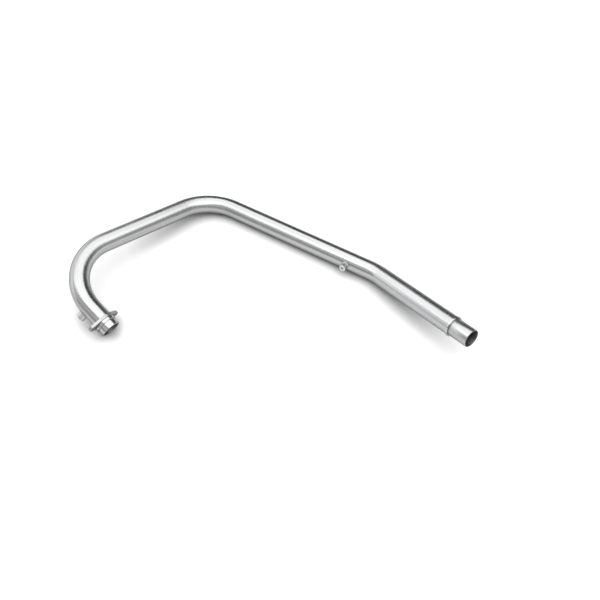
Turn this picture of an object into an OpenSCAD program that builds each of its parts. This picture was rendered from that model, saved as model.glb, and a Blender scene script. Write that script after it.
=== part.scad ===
// Left hand exhaust header pipe of a motorcycle, from the cylinder head to the silencer.
// The origin is the middle of the port mouth. The pipe lies on its side, as it does on a floor,
// with its long straight along +X and +Z up.

/* [Header tube] */
// Outside diameter of the bent tube
tube_od = 44.5; // [38:0.5:50]
// Wall of the bent tube
tube_wall = 1.5; // [1:0.1:2.5]
// How far bending draws each face of the wall in
bend_thinning = 0.1; // [0.05:0.05:0.2]

/* [Bends in order from the port] */
// Straight tube between the port collar and the first bend
leg1_len = 41; // [30:1:90]
// Centre line radius of the first bend
bend1_r = 112; // [80:1:140]
// Angle of the first bend
bend1_angle = 99.6; // [80:0.1:110]
// Straight tube between the first and second bends
leg2_len = 224; // [150:1:300]
// Roll of the second bend against the first
bend2_roll = -25.8; // [-40:0.1:0]
// Centre line radius of the second bend
bend2_r = 105; // [80:1:140]
// Angle of the second bend
bend2_angle = 74.6; // [60:0.1:85]
// Straight tube between the second and third bends
leg3_len = 383; // [360:1:500]
// Roll of the third bend against the second
bend3_roll = -19.2; // [-40:0.1:0]
// Centre line radius of the third bend
bend3_r = 93; // [80:1:140]
// Angle of the third bend
bend3_angle = 23.3; // [10:0.1:40]
// Straight tube between the third bend and the outlet spigot
leg4_len = 226; // [150:1:300]

/* [Port collar] */
// Outside diameter of the nose that enters the cylinder head
nose_od = 44; // [40:0.5:50]
// Length of the nose
nose_len = 15; // [10:0.5:25]
// Wall of the nose at the mouth
nose_wall = 3; // [2:0.1:4]
// Height of the shoulder over the tube, which the flange pushes on
shoulder_height = 1.75; // [1.25:0.25:4]
// Length of the shoulder
shoulder_len = 7; // [4:0.5:12]
// Width of the groove between the nose and the shoulder
groove_width = 1.5; // [0.5:0.25:3]
// Depth of that groove under the nose
groove_depth = 0.8; // [0.4:0.1:1.2]
// Chamfer on the edges of the turned pieces
edge_chamfer = 0.6; // [0.2:0.1:0.8]

/* [Port flange] */
// Thickness of the flange plate
flange_thick = 7; // [6:0.5:12]
// Metal between the flange's bore and its round middle
flange_wall = 2.6; // [2:0.1:5]
// Height of the seat around each stud hole, on the side of the nuts
seat_height = 0.5; // [0.3:0.1:1.5]
// Width of that seat around the hole
seat_width = 3.5; // [2:0.25:4.5]
// Play between the flange and the tube, on the radius
flange_play = 0.4; // [0.2:0.1:0.8]
// Distance between the two stud holes
stud_spacing = 62; // [60:0.5:80]
// Diameter of a stud hole
stud_hole_d = 9; // [6.5:0.5:10]
// Metal around a stud hole
ear_wall = 5; // [4:0.5:8]
// Turn of the flange around the tube
flange_turn = 12; // [0:1:40]

/* [Sensor bung] */
// Outside diameter of the bung
bung_od = 20; // [18:0.5:24]
// Height of the bung over the tube
bung_height = 12; // [8:0.5:16]
// Tapping diameter of the bung's hole
bung_hole_d = 10.8; // [8:0.1:16.6]
// Angle into the first bend at which the bung stands
bung_angle = 1.5; // [0:0.5:20]
// Turn of the bung around the tube
bung_turn = 142; // [100:1:180]

/* [Mount boss] */
// Outside diameter of the boss
boss_od = 16; // [12:0.5:20]
// Height of the boss over the tube
boss_height = 12; // [8:0.5:16]
// Tapping diameter of the boss's hole
boss_hole_d = 6.8; // [4.2:0.1:8.5]
// Depth of the boss's hole
boss_hole_depth = 10; // [6:0.5:11]
// Distance of the boss before the third bend
boss_back = 51; // [20:1:150]
// Turn of the boss around the tube
boss_turn = 0; // [-30:1:30]

/* [Outlet] */
// Length of the spigot that enters the silencer
spigot_len = 47; // [30:1:70]
// Wall of the spigot
spigot_wall = 1.5; // [1:0.1:2.5]
// How much smaller than the tube's inside the spigot is, on the diameter
spigot_ease = 0.2; // [0.1:0.1:1]
// Width of the stop ring
ring_width = 5; // [3:0.5:8]
// Height of the stop ring over the tube
ring_height = 1.6; // [1:0.1:3]
// Play between the stop ring and the tube, on the radius
ring_play = 0.1; // [0:0.05:0.2]

/* [Rest] */
// Turns that lay the finished pipe down as it rests on a floor
lay_turn = [-65.76, 6.36, 83.23]; // [-180:0.01:180]

/* [Hidden] */
$fn = 96;
tube_r = tube_od / 2;
tube_id = tube_od - 2 * tube_wall;
collar_len = nose_len + shoulder_len;
spigot_od = tube_id - spigot_ease;
ear_r = stud_hole_d / 2 + ear_wall;
middle_r = tube_r + flange_play + flange_wall;
cut = 1;
lap = 1;

// Places along the pipe: each frame has +Z along the tube, away from the port

module lay() rotate(lay_turn) children();
module along(len) translate([0, 0, len]) children();
module past_bend(r, angle)
    translate([r * (1 - cos(angle)), 0, r * sin(angle)]) rotate([0, angle, 0]) children();
module at_tube() along(collar_len) children();
module at_bend1() at_tube() along(leg1_len) children();
module at_leg2() at_bend1() past_bend(bend1_r, bend1_angle) children();
module at_bend2() at_leg2() along(leg2_len) rotate(bend2_roll) children();
module at_leg3() at_bend2() past_bend(bend2_r, bend2_angle) children();
module at_bend3() at_leg3() along(leg3_len) rotate(bend3_roll) children();
module at_leg4() at_bend3() past_bend(bend3_r, bend3_angle) children();
module at_outlet() at_leg4() along(leg4_len) children();
module at_bung()
    at_bend1() past_bend(bend1_r, bung_angle) rotate(bung_turn) rotate([0, 90, 0]) children();
module at_boss() at_leg3() along(leg3_len - boss_back) rotate(boss_turn) rotate([0, 90, 0]) children();

// A straight of the tube, which laps over the bends at both ends
module straight_tube(len, lap_start, lap_end)
    along(-lap_start) linear_extrude(len + lap_start + lap_end)
        difference() {
            circle(r = tube_r);
            circle(r = tube_id / 2);
        }

// A bend of any section, which leaves its start along +Z and turns towards +X
module bent(r, angle)
    translate([r, 0, 0]) rotate([90, 0, 180])
        rotate_extrude(angle = angle) translate([r, 0]) children();

// A bend of the tube: bending draws its wall a little thinner
module bent_tube(r, angle)
    bent(r, angle)
        difference() {
            circle(r = tube_r - bend_thinning);
            circle(r = tube_id / 2 + bend_thinning);
        }

// A turned ring with chamfered outer edges, from z = 0 upwards
module turned_ring(inner_r, outer_r, len, chamfer)
    rotate_extrude()
        polygon([[inner_r, 0], [outer_r - chamfer, 0], [outer_r, chamfer],
                 [outer_r, len - chamfer], [outer_r - chamfer, len], [inner_r, len]]);

// One bent tube: four straights and three bends
module header_tube()
    color("silver") lay()
        difference() {
            union() {
                at_tube() straight_tube(leg1_len, 0, lap);
                at_bend1() bent_tube(bend1_r, bend1_angle);
                at_leg2() straight_tube(leg2_len, lap, lap);
                at_bend2() bent_tube(bend2_r, bend2_angle);
                at_leg3() straight_tube(leg3_len, lap, lap);
                at_bend3() bent_tube(bend3_r, bend3_angle);
                at_leg4() straight_tube(leg4_len, lap, 0);
            }
            at_bung() cylinder(h = tube_od, r = bung_hole_d / 2);
        }

// Nose, groove and shoulder, turned as one piece and welded to the tube's end
module port_collar()
    color("gainsboro") lay()
        difference() {
            union() {
                turned_ring(nose_od / 2 - nose_wall, nose_od / 2, nose_len - groove_width,
                            edge_chamfer);
                along(nose_len - groove_width - cut)
                    cylinder(h = groove_width + 2 * cut, r = nose_od / 2 - groove_depth);
                along(nose_len)
                    turned_ring(nose_od / 2 - nose_wall, tube_r + shoulder_height,
                                shoulder_len, edge_chamfer);
            }
            along(-cut) cylinder(h = collar_len + 2 * cut, r = nose_od / 2 - nose_wall);
        }

// Loose plate with two ears that pulls the shoulder onto the cylinder head
module port_flange()
    color("lightgray") lay() along(collar_len) rotate(flange_turn)
        difference() {
            union() {
                linear_extrude(flange_thick) flange_outline();
                for (side = [-1, 1])
                    translate([side * stud_spacing / 2, 0, flange_thick - cut])
                        cylinder(h = cut + seat_height, r = stud_hole_d / 2 + seat_width);
            }
            along(-cut) cylinder(h = flange_thick + 2 * cut, r = tube_r + flange_play);
            for (side = [-1, 1])
                translate([side * stud_spacing / 2, 0, -cut])
                    cylinder(h = flange_thick + seat_height + 2 * cut, r = stud_hole_d / 2);
        }

// Ring and ears joined by the lines that touch both circles
module flange_outline() {
    slope = asin((middle_r - ear_r) / (stud_spacing / 2));
    circle(r = middle_r);
    for (side = [-1, 1]) {
        translate([side * stud_spacing / 2, 0]) circle(r = ear_r);
        polygon([[0, 0],
                 side * middle_r * [sin(slope), cos(slope)],
                 side * ([stud_spacing / 2, 0] + ear_r * [sin(slope), cos(slope)]),
                 side * [stud_spacing / 2, 0],
                 side * ([stud_spacing / 2, 0] + ear_r * [sin(slope), -cos(slope)]),
                 side * middle_r * [sin(slope), -cos(slope)]]);
    }
}

// Turned boss, saddled to the tube and tapped right through
module sensor_bung()
    color("darkgray") lay()
        difference() {
            at_bung() turned_ring(bung_hole_d / 2, bung_od / 2, tube_r + bung_height,
                                  edge_chamfer);
            at_tube() cylinder(h = leg1_len, r = tube_r);
            at_bend1() bent(bend1_r, bend1_angle) circle(r = tube_r - bend_thinning);
        }

// Turned boss with a blind tapped hole
module mount_boss()
    color("darkgray") lay()
        difference() {
            at_boss()
                difference() {
                    cylinder(h = tube_r + boss_height, r = boss_od / 2);
                    along(tube_r + boss_height - boss_hole_depth)
                        cylinder(h = boss_hole_depth + cut, r = boss_hole_d / 2);
                }
            at_leg3() cylinder(h = leg3_len, r = tube_r);
        }

// Ring over the tube's end that the silencer's sleeve stops against
module outlet_ring()
    color("gainsboro") lay() at_outlet() along(-ring_width)
        turned_ring(tube_r + ring_play, tube_r + ring_height, ring_width, edge_chamfer);

module outlet_spigot()
    color("silver") lay() at_outlet()
        turned_ring(spigot_od / 2 - spigot_wall, spigot_od / 2, spigot_len, edge_chamfer);

header_tube();
port_collar();
port_flange();
sensor_bung();
mount_boss();
outlet_ring();
outlet_spigot();
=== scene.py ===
import math

import bpy
from mathutils import Matrix, Vector


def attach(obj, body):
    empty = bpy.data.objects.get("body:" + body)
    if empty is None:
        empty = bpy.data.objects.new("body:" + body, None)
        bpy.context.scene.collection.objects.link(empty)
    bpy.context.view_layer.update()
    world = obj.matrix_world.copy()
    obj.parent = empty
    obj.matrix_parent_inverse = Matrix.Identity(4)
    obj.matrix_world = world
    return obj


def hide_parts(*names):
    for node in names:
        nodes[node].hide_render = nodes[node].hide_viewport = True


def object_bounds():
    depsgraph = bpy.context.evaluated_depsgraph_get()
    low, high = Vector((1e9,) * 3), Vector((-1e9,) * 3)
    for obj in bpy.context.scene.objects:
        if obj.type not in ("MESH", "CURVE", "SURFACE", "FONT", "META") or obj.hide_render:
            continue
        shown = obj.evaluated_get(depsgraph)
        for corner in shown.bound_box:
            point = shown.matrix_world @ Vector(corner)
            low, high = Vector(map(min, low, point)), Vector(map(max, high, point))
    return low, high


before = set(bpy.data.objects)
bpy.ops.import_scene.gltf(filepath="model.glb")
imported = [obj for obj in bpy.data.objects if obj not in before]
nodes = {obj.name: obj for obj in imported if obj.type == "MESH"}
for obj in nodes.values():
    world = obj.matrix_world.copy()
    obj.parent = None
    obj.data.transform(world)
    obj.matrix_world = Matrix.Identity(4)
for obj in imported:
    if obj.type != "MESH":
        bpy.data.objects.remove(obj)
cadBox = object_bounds()
print("stage: frame loaded,", len(nodes), "CAD nodes")

mm = 0.001

# The run of the pipe, the same sizes as in the CAD source
pipe = {
    "radius": 22.25 * mm,          # outside of the bent tube
    "wall": 1.5 * mm,
    "boreSide": 21.2 * mm,         # what lies nearer the axis is the wall of the bore
    "collar": 22 * mm,             # the tube starts behind the port collar
    "legs": (41 * mm, 224 * mm, 383 * mm, 226 * mm),
    "bends": (                     # roll, centre line radius, angle
        (0.0, 112 * mm, 99.6),
        (-25.8, 105 * mm, 74.6),
        (-19.2, 93 * mm, 23.3),
    ),
    "lie": (-65.76, 6.36, 83.23),  # how the pipe lies on the floor
    "sides": 96,
    "legStep": 10 * mm,            # distance between rings on a straight
    "bendStep": 1.6,               # degrees between rings in a bend
    "near": 1.5,                   # a point this many radii from the axis belongs to the pipe
}


def along(length):
    return Matrix.Translation((0, 0, length))


def turn(degrees, axis="Z"):
    return Matrix.Rotation(math.radians(degrees), 4, axis)


def pastBend(radius, degrees):
    angle = math.radians(degrees)
    shift = (radius * (1 - math.cos(angle)), 0, radius * math.sin(angle))
    return Matrix.Translation(shift) @ turn(degrees, "Y")


# Stretches of the run in order: kind, frame at its start, run length so far, size, bend angle,
# and how far the frame has rolled since the port
stretches = []
port = turn(pipe["lie"][2]) @ turn(pipe["lie"][1], "Y") @ turn(pipe["lie"][0], "X")
place, run, rolled = port @ along(pipe["collar"]), 0.0, 0.0
for number, leg in enumerate(pipe["legs"]):
    stretches.append(("leg", place.copy(), run, leg, 0.0, rolled))
    place, run = place @ along(leg), run + leg
    if number < len(pipe["bends"]):
        roll, radius, degrees = pipe["bends"][number]
        place, rolled = place @ turn(roll), rolled + roll
        stretches.append(("bend", place.copy(), run, radius, degrees, rolled))
        place, run = place @ pastBend(radius, degrees), run + radius * math.radians(degrees)
outlet = place
longStraight = stretches[4][1]
firstBend = stretches[1][1]


def unbend(point):
    # where a point of the tube would be if the tube were straight
    best, offBy = Vector(point), math.inf
    for kind, start, before, size, degrees, rolled in stretches:
        local = start.inverted() @ Vector(point)
        if kind == "leg":
            spare = max(-local.z, local.z - size, 0)
            flat = Vector((local.x, local.y, before + local.z))
        else:
            angle = math.atan2(local.z, size - local.x)
            spare = max(-angle, angle - math.radians(degrees), 0) * size
            reach = size - math.hypot(size - local.x, local.z)
            flat = Vector((reach, local.y, before + size * angle))
        off = spare + max(math.hypot(flat.x, flat.y) - pipe["radius"] * pipe["near"], 0)
        if off < offBy:
            best, offBy = turn(rolled) @ flat, off
    return best


# Small helpers for modelling

cleaning = {
    "merge": 1e-6,                 # corners closer than this are one
    "tiny": 3e-6,                  # shorter edges and thinner faces are dissolved
    "level": 1,                    # degrees: faces that meet at less become one
}


def deselectAll():
    if bpy.context.mode != "OBJECT":
        bpy.ops.object.mode_set(mode="OBJECT")
    bpy.ops.object.select_all(action="DESELECT")


def pick(piece):
    deselectAll()
    piece.select_set(True)
    bpy.context.view_layer.objects.active = piece


def settle(piece, matrix):
    # puts the place into the mesh, so the object stays at the origin
    pick(piece)
    piece.matrix_world = matrix @ piece.matrix_world
    bpy.ops.object.transform_apply(location=True, rotation=True, scale=True)


def cleanUp(piece):
    pick(piece)
    bpy.ops.object.mode_set(mode="EDIT")
    bpy.ops.mesh.select_all(action="SELECT")
    bpy.ops.mesh.remove_doubles(threshold=cleaning["merge"])
    bpy.ops.mesh.dissolve_degenerate(threshold=cleaning["tiny"])
    bpy.ops.mesh.delete_loose()
    bpy.ops.mesh.select_all(action="SELECT")
    bpy.ops.mesh.normals_make_consistent(inside=False)
    bpy.ops.object.mode_set(mode="OBJECT")


def splitFaces(piece):
    # many-sided faces with holes in them become even triangles
    pick(piece)
    bpy.ops.object.mode_set(mode="EDIT")
    bpy.ops.mesh.select_all(action="SELECT")
    bpy.ops.mesh.quads_convert_to_tris(quad_method="BEAUTY", ngon_method="BEAUTY")
    bpy.ops.mesh.dissolve_degenerate(threshold=cleaning["tiny"])
    bpy.ops.object.mode_set(mode="OBJECT")


def applyBevel(piece, width, segments=2, angle=35):
    pick(piece)
    bpy.ops.object.modifier_add(type="BEVEL")
    bevel = piece.modifiers[-1]
    bevel.width = width
    bevel.segments = segments
    bevel.limit_method = "ANGLE"
    bevel.angle_limit = math.radians(angle)
    bpy.ops.object.modifier_apply(modifier=bevel.name)


def applyBoolean(piece, other, operation):
    # the other piece is used up
    pick(piece)
    bpy.ops.object.modifier_add(type="BOOLEAN")
    cut = piece.modifiers[-1]
    cut.operation = operation
    cut.solver = "EXACT"
    cut.object = other
    bpy.ops.object.modifier_apply(modifier=cut.name)
    bpy.data.objects.remove(other)


def smoothByAngle(piece, degrees):
    pick(piece)
    bpy.ops.object.shade_smooth_by_angle(angle=math.radians(degrees))


def turnedPiece(name, profile, sides=96, bevel=0.0, segments=2):
    # a closed profile of (radius, height) points, spun about Z
    deselectAll()
    bpy.ops.mesh.primitive_circle_add(vertices=len(profile), fill_type="NOTHING")
    piece = bpy.context.object
    piece.name = name
    for vertex, (radius, height) in zip(piece.data.vertices, profile):
        vertex.co = (radius, 0, height)
    bpy.ops.object.mode_set(mode="EDIT")
    bpy.ops.mesh.select_all(action="SELECT")
    bpy.ops.mesh.spin(steps=sides, angle=math.tau, center=(0, 0, 0), axis=(0, 0, 1))
    cleanUp(piece)
    if bevel:
        applyBevel(piece, bevel, segments)
        cleanUp(piece)
    return piece


def rod(name, radius, low, high, sides=64):
    deselectAll()
    bpy.ops.mesh.primitive_cylinder_add(vertices=sides, radius=radius, depth=high - low,
                                        location=(0, 0, (low + high) / 2))
    piece = bpy.context.object
    piece.name = name
    bpy.ops.object.transform_apply(location=True, rotation=True, scale=True)
    return piece


def markSurface(piece, straighten):
    # the finish follows the surface: a place on the straightened part, and a map around it
    skin = piece.data
    spots = [straighten(vertex.co) for vertex in skin.vertices]
    attribute = skin.attributes.new("finishPlace", "FLOAT_VECTOR", "POINT")
    attribute.data.foreach_set("vector", [number for spot in spots for number in spot])
    while skin.uv_layers:
        skin.uv_layers.remove(skin.uv_layers[0])
    around = skin.uv_layers.new(name="around").data
    for face in skin.polygons:
        turns = [math.atan2(spots[v].y, spots[v].x) / math.tau for v in face.vertices]
        middle = turns[0]
        for loop, corner, share in zip(face.loop_indices, face.vertices, turns):
            share += round(middle - share)
            around[loop].uv = (share * math.tau * pipe["radius"], spots[corner].z)


def inFrame(matrix):
    back = matrix.inverted()
    return lambda point: back @ Vector(point)


def finishPiece(piece, material, straighten, node, smooth=32, inside=0.0):
    markSurface(piece, straighten)
    smoothByAngle(piece, smooth)
    piece.data.materials.clear()
    piece.data.materials.append(material)
    if inside:
        # the wall of the bore is duller than the outside, and its darker tone is painted shade inside
        # the bore
        piece.data.materials.append(boreSteelPaintedShade)
        for face in piece.data.polygons:
            middle = straighten(face.center)
            if math.hypot(middle.x, middle.y) < inside:
                face.material_index = 1
    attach(piece, "root")
    if node:
        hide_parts(node)


# Finishes

plainFinish = {
    "anisotropic": 0.0,
    "bump": 0.008,
    "edge": 0.5,                   # how much the rim mirrors
    "patches": (35, 22),           # soft patches, as marks and streaks below
    "patchDepth": 0.03,
    "dullMarks": 0.02,             # how much the marks and the patches change the roughness
    "dullPatches": (-0.03, 0.05),
}
# marks and streaks: how many per metre round the pipe and along it, and how deep in tone
finishes = {
    "brushedTube": {"tone": (0.46, 0.463, 0.467), "roughness": 0.27, "anisotropic": 0.55,
                    "marks": (30, 1500), "markDepth": 0.02,
                    "streaks": (190, 2), "streakDepth": 0.14},
    "turnedSteel": {"tone": (0.52, 0.52, 0.52), "roughness": 0.20, "anisotropic": 0.4,
                    "marks": (20, 2500), "markDepth": 0.03,
                    "streaks": (150, 40), "streakDepth": 0.02},
    "flangeSteel": {"tone": (0.40, 0.40, 0.405), "roughness": 0.34, "bump": 0.25,
                    "marks": (500, 500), "markDepth": 0.06,
                    "streaks": (120, 120), "streakDepth": 0.05},
    "bossSteel": {"tone": (0.60, 0.60, 0.605), "roughness": 0.28, "anisotropic": 0.3,
                  "marks": (25, 2200), "markDepth": 0.05,
                  "streaks": (150, 60), "streakDepth": 0.04},
    "weldSteel": {"tone": (0.47, 0.465, 0.455), "roughness": 0.32, "bump": 0.3,
                  "marks": (700, 700), "markDepth": 0.10,
                  "streaks": (200, 200), "streakDepth": 0.08},
    # the bore's wall: duller steel, and its darker tone is painted shade inside the tube
    "borePaintedShade": {"tone": (0.22, 0.215, 0.21), "roughness": 0.45,
                   "marks": (120, 120), "markDepth": 0.05,
                   "streaks": (260, 5), "streakDepth": 0.06},
}


def mathStep(tree, operation, *values):
    # one Math node, fed by numbers or by other nodes
    step = tree.nodes.new("ShaderNodeMath")
    step.operation = operation
    for socket, value in zip(step.inputs, values):
        if isinstance(value, float):
            socket.default_value = value
        else:
            tree.links.new(value, socket)
    return step.outputs[0]


def steel(name):
    finish = plainFinish | finishes[name]
    material = bpy.data.materials.new(name)
    material.use_nodes = True
    tree = material.node_tree
    shader = tree.nodes["Principled BSDF"]
    rim = finish["edge"]
    shader.inputs["Metallic"].default_value = 1.0
    shader.inputs["Anisotropic"].default_value = finish["anisotropic"]
    shader.inputs["Anisotropic Rotation"].default_value = 0.25   # a quarter turn: along the pipe
    shader.inputs["Specular Tint"].default_value = (rim, rim, rim, 1)
    spot = tree.nodes.new("ShaderNodeAttribute")
    spot.attribute_name = "finishPlace"

    def stretched(fineness, detail):
        aroundPipe, alongPipe = fineness
        mapping = tree.nodes.new("ShaderNodeMapping")
        mapping.inputs["Scale"].default_value = (aroundPipe, aroundPipe, alongPipe)
        tree.links.new(spot.outputs["Vector"], mapping.inputs["Vector"])
        noise = tree.nodes.new("ShaderNodeTexNoise")
        noise.inputs["Scale"].default_value = 1.0
        noise.inputs["Detail"].default_value = detail
        noise.inputs["Roughness"].default_value = 0.6
        tree.links.new(mapping.outputs["Vector"], noise.inputs["Vector"])
        return noise.outputs["Fac"]

    def span(source, low, high):
        # noise sits mostly between 0.3 and 0.7
        ramp = tree.nodes.new("ShaderNodeMapRange")
        ramp.inputs["From Min"].default_value = 0.3
        ramp.inputs["From Max"].default_value = 0.7
        ramp.inputs["To Min"].default_value = low
        ramp.inputs["To Max"].default_value = high
        tree.links.new(source, ramp.inputs["Value"])
        return ramp.outputs["Result"]

    fine = stretched(finish["marks"], 3.0)
    lengthwise = stretched(finish["streaks"], 2.0)
    cloudy = stretched(finish["patches"], 3.0)

    # tone: brush marks, lengthwise polishing streaks and soft patches
    shade = mathStep(tree, "ADD", span(fine, -finish["markDepth"], finish["markDepth"]),
                     span(lengthwise, -finish["streakDepth"], finish["streakDepth"]))
    shade = mathStep(tree, "ADD", shade, span(cloudy, -finish["patchDepth"], finish["patchDepth"]))
    level = mathStep(tree, "ADD", shade, 1.0)
    colour = tree.nodes.new("ShaderNodeVectorMath")
    colour.operation = "SCALE"
    colour.inputs[0].default_value = finish["tone"]
    tree.links.new(level, colour.inputs["Scale"])
    tree.links.new(colour.outputs["Vector"], shader.inputs["Base Color"])

    low = finish["roughness"] - finish["dullMarks"]
    high = finish["roughness"] + finish["dullMarks"]
    rough = mathStep(tree, "ADD", span(fine, low, high), span(cloudy, *finish["dullPatches"]))
    tree.links.new(rough, shader.inputs["Roughness"])

    relief = tree.nodes.new("ShaderNodeBump")
    relief.inputs["Strength"].default_value = finish["bump"]
    relief.inputs["Distance"].default_value = 0.1 * mm
    tree.links.new(fine, relief.inputs["Height"])
    tree.links.new(relief.outputs["Normal"], shader.inputs["Normal"])

    if finish["anisotropic"]:
        grain = tree.nodes.new("ShaderNodeTangent")
        grain.direction_type = "UV_MAP"
        grain.uv_map = "around"
        tree.links.new(grain.outputs["Tangent"], shader.inputs["Tangent"])
    return material


tubeSteel = steel("brushedTube")
turnedSteel = steel("turnedSteel")
plateSteel = steel("flangeSteel")
bossSteel = steel("bossSteel")
weldSteel = steel("weldSteel")
boreSteelPaintedShade = steel("borePaintedShade")
print("stage: finishes made")


# The bent tube: a ring is extruded along each straight and spun round each bend

def makeTube():
    deselectAll()
    bpy.ops.mesh.primitive_circle_add(vertices=pipe["sides"], radius=pipe["radius"],
                                      fill_type="NOTHING")
    tube = bpy.context.object
    tube.name = "headerTube"
    settle(tube, stretches[0][1])
    bpy.ops.object.mode_set(mode="EDIT")
    bpy.ops.mesh.select_all(action="SELECT")
    for kind, start, before, size, degrees, rolled in stretches:
        axes = start.to_3x3()
        if kind == "leg":
            steps = max(2, round(size / pipe["legStep"]))
            push = axes @ Vector((0, 0, size / steps))
            for step in range(steps):
                bpy.ops.mesh.extrude_region_move(TRANSFORM_OT_translate={"value": push})
        else:
            bpy.ops.mesh.spin(steps=round(degrees / pipe["bendStep"]), angle=math.radians(degrees),
                              center=start @ Vector((size, 0, 0)), axis=axes @ Vector((0, -1, 0)))
    cleanUp(tube)
    ends = [vertex.co for vertex in tube.data.vertices]
    mouth = outlet.translation
    gap = min((co - mouth).length for co in ends) - pipe["radius"]
    print("stage: tube run made, outlet off by", round(gap / mm, 4), "mm")
    bpy.ops.object.modifier_add(type="SOLIDIFY")
    wall = tube.modifiers[-1]
    wall.thickness = pipe["wall"]
    wall.offset = -1
    wall.use_even_offset = True
    bpy.ops.object.modifier_apply(modifier=wall.name)
    return tube


# Boss and bung: turned, saddled to the tube, tapped. Heights are from the tube's centre line

bung = {
    "radius": 10 * mm,
    "top": 34.25 * mm,
    "hole": 5.4 * mm,
    "chamfer": 0.6 * mm,
    "pitch": 1.25 * mm,
    "threadLow": 21.5 * mm,
    "threadEnd": 0.9 * mm,         # below the top
    "bendAngle": 1.5,              # degrees past the start of the first bend
    "round": 142,                  # degrees round the tube
    "drilled": (15 * mm, 30 * mm),  # where the hole goes through the tube's wall
    "bead": 1.5 * mm,              # half the thickness of the weld bead round the foot
    "ripples": 30,
    "beadStart": 1,                # where its slow swell begins, in radians
}
boss = {
    "radius": 8 * mm,
    "top": 34.25 * mm,
    "hole": 3.4 * mm,
    "holeDepth": 10 * mm,
    "drillTip": 0.3,               # depth of the hole's cone as a share of its radius
    "chamfer": 0.5 * mm,
    "pitch": 1.25 * mm,
    "threadStart": 0.6 * mm,       # above the bottom of the hole
    "threadEnd": 0.7 * mm,
    "alongStraight": 332 * mm,
    "bead": 1.4 * mm,
    "ripples": 24,
    "beadStart": 2,
}
saddle = {
    "low": 17 * mm,                # low enough to be cut all round by the tube
    "grip": 0.02 * mm,             # the foot goes this far into the tube
    "reach": 40 * mm,
    "sides": 192,
}
thread = {
    "sunk": 0.15 * mm,             # the ridge's foot lies this far in the wall
    "depth": 0.36,                 # depth, crest and end as shares of the pitch
    "crest": 0.45,
    "end": 0.9,
    "steps": 48,                   # for each turn
}
bung["place"] = (firstBend @ pastBend(pipe["bends"][0][1], bung["bendAngle"])
                 @ turn(bung["round"]) @ turn(90, "Y"))
boss["place"] = longStraight @ along(boss["alongStraight"]) @ turn(90, "Y")


def joinPieces(main, *others):
    deselectAll()
    for other in others:
        other.select_set(True)
    main.select_set(True)
    bpy.context.view_layer.objects.active = main
    bpy.ops.object.join()
    return main


def saddleCutter():
    # the tube's outside, lying along X as a boss sees it
    cutter = rod("saddle", pipe["radius"] - saddle["grip"], -saddle["reach"], saddle["reach"],
                 saddle["sides"])
    settle(cutter, turn(90, "Y"))
    return cutter


def makeThread(fitting, low):
    # a helical V ridge on the wall of a tapped hole
    pitch, high = fitting["pitch"], fitting["top"] - fitting["threadEnd"]
    turns = max(1, int((high - low) / pitch) - 1)
    foot = fitting["hole"] + thread["sunk"]
    crest = fitting["hole"] - pitch * thread["depth"]
    shape = ((foot, low), (crest, low + pitch * thread["crest"]), (foot, low + pitch * thread["end"]))
    deselectAll()
    bpy.ops.mesh.primitive_circle_add(vertices=3, fill_type="NOTHING")
    ridge = bpy.context.object
    for vertex, (radius, height) in zip(ridge.data.vertices, shape):
        vertex.co = (radius, 0, height)
    bpy.ops.object.modifier_add(type="SCREW")
    helix = ridge.modifiers[-1]
    helix.angle = math.tau
    helix.screw_offset = pitch
    helix.iterations = turns
    helix.steps = thread["steps"]
    helix.render_steps = thread["steps"]
    helix.use_merge_vertices = False
    bpy.ops.object.modifier_apply(modifier=helix.name)
    bpy.ops.object.mode_set(mode="EDIT")
    bpy.ops.mesh.select_all(action="SELECT")
    bpy.ops.mesh.remove_doubles(threshold=cleaning["merge"])
    bpy.ops.mesh.select_all(action="DESELECT")
    bpy.ops.mesh.select_non_manifold()
    bpy.ops.mesh.edge_face_add()   # closes both ends of the ridge
    bpy.ops.mesh.select_all(action="SELECT")
    bpy.ops.mesh.normals_make_consistent(inside=False)
    bpy.ops.object.mode_set(mode="OBJECT")
    return ridge


def makeFitting(name, fitting, profile, threadLow):
    # turned, saddled and tapped, then set on the tube
    piece = turnedPiece(name, profile)
    applyBoolean(piece, saddleCutter(), "DIFFERENCE")
    cleanUp(piece)
    ridge = makeThread(fitting, threadLow)
    settle(piece, fitting["place"])
    settle(ridge, fitting["place"])
    return joinPieces(piece, ridge)


def makeBung():
    radius, top, hole, chamfer = bung["radius"], bung["top"], bung["hole"], bung["chamfer"]
    return makeFitting("sensorBung", bung, (
        (hole, saddle["low"]), (radius, saddle["low"]), (radius, top - chamfer),
        (radius - chamfer, top), (hole + chamfer, top), (hole, top - chamfer)), bung["threadLow"])


def makeBoss():
    radius, top, hole, chamfer = boss["radius"], boss["top"], boss["hole"], boss["chamfer"]
    bottom = top - boss["holeDepth"]
    return makeFitting("mountBoss", boss, (
        (0, saddle["low"]), (radius, saddle["low"]), (radius, top - chamfer),
        (radius - chamfer, top), (hole + chamfer, top), (hole, top - chamfer),
        (hole, bottom), (0, bottom - hole * boss["drillTip"])), bottom + boss["threadStart"])


weld = {
    "proud": 0.3 * mm,             # the middle of the bead stands this far outside the foot
    "sides": 12,
    "sidesPerRipple": 8,
    "ripple": 0.13,                # how much the bead swells at each ripple
    "uneven": 0.07,                # and more slowly, three times round
    "flat": 0.8,                   # height as a share of width
    "lean": 0.5,                   # leans over where the tube falls away
    "smooth": 60,
}


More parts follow.
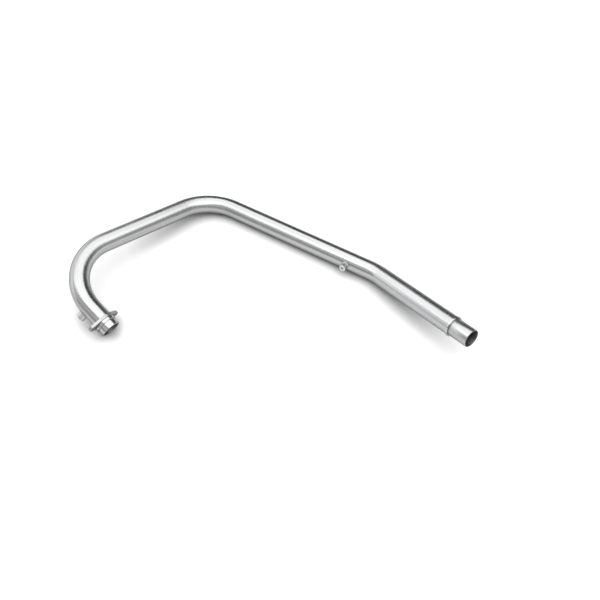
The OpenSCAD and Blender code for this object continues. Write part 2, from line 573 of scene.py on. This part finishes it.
def weldBead(name, fitting):
    # a rippled bead round the foot of a boss, following the tube's round
    footRadius = fitting["radius"] + weld["proud"]
    ripples, start = fitting["ripples"], fitting["beadStart"]
    deselectAll()
    bpy.ops.mesh.primitive_torus_add(major_segments=ripples * weld["sidesPerRipple"],
                                     minor_segments=weld["sides"],
                                     major_radius=footRadius, minor_radius=fitting["bead"])
    bead = bpy.context.object
    bead.name = name
    for vertex in bead.data.vertices:
        angle = math.atan2(vertex.co.y, vertex.co.x)
        swell = (1 + weld["ripple"] * math.cos(angle * ripples)
                 + weld["uneven"] * math.sin(3 * angle + start))
        reach = math.hypot(vertex.co.x, vertex.co.y) - footRadius
        radius = footRadius + reach * swell
        side = footRadius * math.sin(angle)
        height = math.sqrt(pipe["radius"] ** 2 - side ** 2)
        lean = reach * abs(math.sin(angle)) * weld["lean"]
        vertex.co = (radius * math.cos(angle), radius * math.sin(angle),
                     height + vertex.co.z * swell * weld["flat"] - lean)
    settle(bead, fitting["place"])
    return bead


tubePiece = makeTube()
holeCutter = rod("sensorHole", bung["hole"], *bung["drilled"])
settle(holeCutter, bung["place"])
applyBoolean(tubePiece, holeCutter, "DIFFERENCE")
finishPiece(tubePiece, tubeSteel, unbend, "header_tube", inside=pipe["boreSide"])
bungPiece = makeBung()
finishPiece(bungPiece, bossSteel, inFrame(bung["place"]), "sensor_bung")
bossPiece = makeBoss()
finishPiece(bossPiece, bossSteel, inFrame(boss["place"]), "mount_boss")
bungBead = weldBead("bungWeld", bung)
bossBead = weldBead("bossWeld", boss)
finishPiece(bungBead, weldSteel, inFrame(bung["place"]), None, weld["smooth"])
finishPiece(bossBead, weldSteel, inFrame(boss["place"]), None, weld["smooth"])
print("stage: tube, bung and boss made")


# Port end: collar and the loose flange

collar = {
    "nose": 22 * mm,
    "bore": 19 * mm,
    "noseLength": 15 * mm,
    "groove": 1.5 * mm,
    "grooveDepth": 0.8 * mm,
    "shoulder": 24 * mm,
    "length": 22 * mm,
    "chamfer": 0.6 * mm,
    "edge": 0.12 * mm,             # finest edge rounding
    "sides": 128,
    "boreSide": 19.05 * mm,        # what lies nearer the axis is the wall of the bore
}
flange = {
    "low": 22 * mm,
    "thick": 7 * mm,
    "middle": 25.25 * mm,          # round middle of the plate
    "bore": 22.65 * mm,
    "ear": 9.5 * mm,
    "spread": 31 * mm,
    "stud": 4.5 * mm,
    "seat": 8 * mm,                # nut seat round each stud hole
    "seatHeight": 0.5 * mm,
    "turn": 12,
    "edge": 0.7 * mm,
    "edgeSteps": 3,
    "edgeAngle": 50,               # only edges sharper than this are rounded
    "holeEdge": 0.4 * mm,
    "over": 1 * mm,                # how far a cutter reaches past the plate
    "sides": 128,
    "earSides": 72,
    "holeSides": 64,
}


def makeCollar():
    chamfer, nose, bore = collar["chamfer"], collar["nose"], collar["bore"]
    shoulder, noseLength, length = collar["shoulder"], collar["noseLength"], collar["length"]
    deep = nose - collar["grooveDepth"]
    grooveLow = noseLength - collar["groove"]
    piece = turnedPiece("portCollar", (
        (bore, 0), (nose - chamfer, 0), (nose, chamfer), (nose, grooveLow - chamfer),
        (nose - chamfer, grooveLow), (deep, grooveLow), (deep, noseLength),
        (shoulder - chamfer, noseLength), (shoulder, noseLength + chamfer),
        (shoulder, length - chamfer), (shoulder - chamfer, length), (bore, length)),
        sides=collar["sides"], bevel=collar["edge"])
    settle(piece, port)
    return piece


def flaredCutter(radius, high, sides):
    # cuts a hole through the plate and breaks both of its edges
    low, edge, over = flange["low"], flange["holeEdge"], flange["over"]
    return turnedPiece("cutter", (
        (0, low - over), (radius + edge + over, low - over), (radius, low + edge),
        (radius, high - edge), (radius + edge + over, high + over), (0, high + over)), sides=sides)


def makeFlange():
    low, top = flange["low"], flange["low"] + flange["thick"]
    plate = rod("portFlange", flange["middle"], low, top, flange["sides"])
    places = [Matrix.Translation((side * flange["spread"], 0, 0)) for side in (-1, 1)]
    ears = []
    for across in places:
        ear = rod("ear", flange["ear"], low, top, flange["earSides"])
        settle(ear, across)
        ears.append(ear)
    joinPieces(plate, *ears)
    bpy.ops.object.mode_set(mode="EDIT")
    bpy.ops.mesh.select_all(action="SELECT")
    bpy.ops.mesh.convex_hull()
    bpy.ops.mesh.select_all(action="SELECT")
    bpy.ops.mesh.dissolve_limited(angle_limit=math.radians(cleaning["level"]))
    bpy.ops.object.mode_set(mode="OBJECT")
    applyBevel(plate, flange["edge"], flange["edgeSteps"], flange["edgeAngle"])
    below = top - flange["over"]
    seatFoot, seatTop = flange["seat"] + flange["holeEdge"], top + flange["seatHeight"]
    for across in places:
        seat = turnedPiece("seat", (
            (0, below), (seatFoot, below), (seatFoot, top), (flange["seat"], seatTop),
            (0, seatTop)), sides=flange["holeSides"])
        settle(seat, across)
        applyBoolean(plate, seat, "UNION")
        cutter = flaredCutter(flange["stud"], seatTop, flange["holeSides"])
        settle(cutter, across)
        applyBoolean(plate, cutter, "DIFFERENCE")
    applyBoolean(plate, flaredCutter(flange["bore"], top, flange["sides"]), "DIFFERENCE")
    cleanUp(plate)
    splitFaces(plate)
    settle(plate, port @ turn(flange["turn"]))
    return plate


collarPiece = makeCollar()
finishPiece(collarPiece, turnedSteel, inFrame(port), "port_collar",
            inside=collar["boreSide"])
flangePiece = makeFlange()
finishPiece(flangePiece, plateSteel, inFrame(port), "port_flange")
print("stage: collar and flange made")


# Outlet end: spigot and stop ring

tail = {
    "ringLength": 5 * mm,
    "ringInner": 22.35 * mm,
    "ringOuter": 23.85 * mm,
    "spigot": 20.65 * mm,
    "spigotBore": 19.15 * mm,
    "spigotLength": 47 * mm,
    "chamfer": 0.6 * mm,
    "edge": 0.12 * mm,             # finest edge rounding
    "sides": 128,
    "boreSide": 19.2 * mm,         # what lies nearer the axis is the wall of the bore
}


def makeTail():
    chamfer, inner, outer = tail["chamfer"], tail["ringInner"], tail["ringOuter"]
    start, length = -tail["ringLength"], tail["spigotLength"]
    turning = {"sides": tail["sides"], "bevel": tail["edge"]}
    ring = turnedPiece("outletRing", (
        (inner, start), (outer - chamfer, start), (outer, chamfer + start),
        (outer, -chamfer), (outer - chamfer, 0), (inner, 0)), **turning)
    settle(ring, outlet)
    spigot = turnedPiece("outletSpigot", (
        (tail["spigotBore"], 0), (tail["spigot"], 0), (tail["spigot"], length - chamfer),
        (tail["spigot"] - chamfer, length), (tail["spigotBore"], length)), **turning)
    settle(spigot, outlet)
    return ring, spigot


ringPiece, spigotPiece = makeTail()
finishPiece(ringPiece, turnedSteel, inFrame(outlet), "outlet_ring")
finishPiece(spigotPiece, tubeSteel, inFrame(outlet), "outlet_spigot",
            inside=tail["boreSide"])
print("stage: outlet made")


# Studio

studio = {
    "floorSize": 30.0,
    "floorTone": 0.45,             # as it lights the pipe
    "floorMirrored": 0.80,         # as the metal shows it
    "floorSeen": 0.98,             # as the camera sees it, white with a shadow
    "shadowReach": 45 * mm,        # this near the pipe the floor's colour is darkened, a painted shadow
    "shadowDepth": 0.6,            # by up to this share
    "farRoom": 0.13,               # behind the pipe the room is dark
    # in front of it there are pale bands: height as the view turns up, and level
    "nearRoom": ((0.0, 0.52), (0.2, 0.48), (0.42, 0.6), (0.54, 1.25), (0.62, 0.7), (0.7, 0.5)),
    "nearTurn": (-0.35, 0.15),     # where the bands begin and are full
    "leftWall": 1.6,               # pale wall at the left
    "leftTurn": (0.7, 0.82),
    "softboxHeight": 1.75,
    "softboxSize": (3.9, 2.9),
    "softboxMiddle": (0.15, 0.5),
    "softboxGlow": 1.88,
    "cameraPlace": (0.7675, -0.4644, 1.1489),
    "cameraTilt": 37.33,
    "cameraTurn": 31.29,
    "lens": 38.11,
    "sensor": 36,
}
ground = cadBox[0][2]


def makeFloor():
    deselectAll()
    bpy.ops.mesh.primitive_plane_add(size=studio["floorSize"], location=(0, 0, ground))
    floor = bpy.context.object
    floor.name = "studioFloor"
    paint = bpy.data.materials.new("floorPaint")
    paint.use_nodes = True
    tree = paint.node_tree
    tree.nodes.remove(tree.nodes["Principled BSDF"])
    shader = tree.nodes.new("ShaderNodeBsdfDiffuse")
    rays = tree.nodes.new("ShaderNodeLightPath").outputs

    # the camera sees the floor white with its shadow, and metal shows it pale too
    mirrored = mathStep(tree, "MAXIMUM", rays["Is Glossy Ray"], rays["Is Transmission Ray"])
    direct = mathStep(tree, "LESS_THAN", rays["Diffuse Depth"], 0.5)
    mirrored = mathStep(tree, "MULTIPLY", mirrored, direct)
    tone = mathStep(tree, "MULTIPLY_ADD", mirrored,
                    studio["floorMirrored"] - studio["floorTone"], studio["floorTone"])
    tone = mathStep(tree, "MULTIPLY_ADD", rays["Is Camera Ray"],
                    studio["floorSeen"] - studio["floorTone"], tone)
    # painted shadow: near the pipe an ambient occlusion node darkens the floor's colour, so the
    # shadow close to the pipe is a little deeper than the broad light leaves it
    nearby = tree.nodes.new("ShaderNodeAmbientOcclusion")
    nearby.samples = 16
    nearby.inputs["Distance"].default_value = studio["shadowReach"]
    paintedShadow = mathStep(tree, "MULTIPLY_ADD", nearby.outputs["AO"], studio["shadowDepth"],
                        1.0 - studio["shadowDepth"])
    tree.links.new(mathStep(tree, "MULTIPLY", tone, paintedShadow), shader.inputs["Color"])
    tree.links.new(shader.outputs[0], tree.nodes["Material Output"].inputs["Surface"])
    floor.data.materials.append(paint)


def makeRoom():
    # what the metal mirrors besides the floor and the softbox
    world = bpy.data.worlds.new("room")
    bpy.context.scene.world = world
    world.use_nodes = True
    tree = world.node_tree
    tree.nodes.clear()
    heading = tree.nodes.new("ShaderNodeTexCoord").outputs["Generated"]

    def toward(direction, start, full):
        # 0 to 1 as the view turns towards a direction
        dot = tree.nodes.new("ShaderNodeVectorMath")
        dot.operation = "DOT_PRODUCT"
        dot.inputs[1].default_value = direction
        tree.links.new(heading, dot.inputs[0])
        ramp = tree.nodes.new("ShaderNodeMapRange")
        ramp.interpolation_type = "SMOOTHSTEP"
        ramp.inputs["From Min"].default_value = start
        ramp.inputs["From Max"].default_value = full
        tree.links.new(dot.outputs["Value"], ramp.inputs["Value"])
        return ramp.outputs["Result"]

    azimuth = math.radians(studio["cameraTurn"])
    near = toward((math.sin(azimuth), -math.cos(azimuth), 0), *studio["nearTurn"])
    left = toward((-1, 0, 0), *studio["leftTurn"])
    height = tree.nodes.new("ShaderNodeSeparateXYZ")
    tree.links.new(heading, height.inputs[0])
    bands = tree.nodes.new("ShaderNodeValToRGB")
    bands.color_ramp.interpolation = "EASE"
    stops = bands.color_ramp.elements
    while len(stops) > 1:
        stops.remove(stops[-1])
    for number, (position, level) in enumerate(studio["nearRoom"]):
        if number:
            stops.new(position)
        stops[number].position = position
        stops[number].color = (level, level, level, 1)
    tree.links.new(height.outputs["Z"], bands.inputs["Fac"])
    front = mathStep(tree, "MULTIPLY", near, bands.outputs["Color"])
    side = mathStep(tree, "MULTIPLY", left, studio["leftWall"])
    strength = mathStep(tree, "ADD", mathStep(tree, "ADD", front, studio["farRoom"]), side)
    glow = tree.nodes.new("ShaderNodeBackground")
    out = tree.nodes.new("ShaderNodeOutputWorld")
    tree.links.new(strength, glow.inputs["Strength"])
    tree.links.new(glow.outputs["Background"], out.inputs["Surface"])


def makeSoftbox():
    wide, deep = studio["softboxSize"]
    lamp = bpy.data.lights.new("softbox", "AREA")
    lamp.shape = "RECTANGLE"
    lamp.size = wide
    lamp.size_y = deep
    lamp.energy = studio["softboxGlow"] * math.pi * wide * deep
    softbox = bpy.data.objects.new("softbox", lamp)
    softbox.location = (*studio["softboxMiddle"], ground + studio["softboxHeight"])
    bpy.context.scene.collection.objects.link(softbox)


def makeCamera():
    camera = bpy.data.cameras.new("camera")
    camera.sensor_width = studio["sensor"]
    camera.lens = studio["lens"]
    viewer = bpy.data.objects.new("camera", camera)
    viewer.location = studio["cameraPlace"]
    viewer.rotation_euler = (math.radians(studio["cameraTilt"]), 0,
                             math.radians(studio["cameraTurn"]))
    bpy.context.scene.collection.objects.link(viewer)
    bpy.context.scene.camera = viewer
    bpy.context.scene.view_settings.view_transform = "Standard"


makeFloor()
makeRoom()
makeSoftbox()
makeCamera()
print("stage: studio made")

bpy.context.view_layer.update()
deselectAll()
